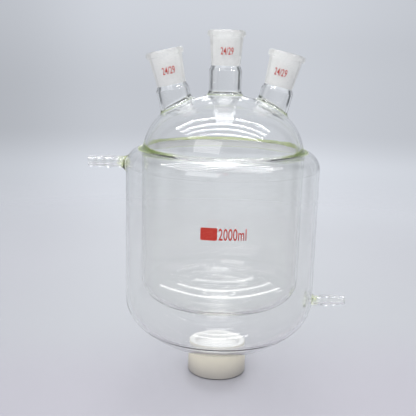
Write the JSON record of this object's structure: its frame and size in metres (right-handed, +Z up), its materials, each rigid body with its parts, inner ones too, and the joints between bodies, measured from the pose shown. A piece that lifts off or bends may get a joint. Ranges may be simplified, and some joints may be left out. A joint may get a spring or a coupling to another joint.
{
  "type": "jacketed three neck flask",
  "caption": "Jacketed cylindrical glass reaction flask with three ground-socket necks on a domed top and two hose barbs, seated in a low round stand.",
  "frame": {"origin": "middle of the stand's flat underside", "axes": "+Z up along the flask's axis; the three necks and both hose barbs lie in the XZ plane, the upper barb towards -X"},
  "size_m": [0.23, 0.1664, 0.3021],
  "materials": {
    "glass": "polished, ground white inside the sockets",
    "stand_white": "matte"
  },
  "bodies": {
    "root": {"flask": "glass", "stand": "stand_white"}
  },
  "joints": []
}
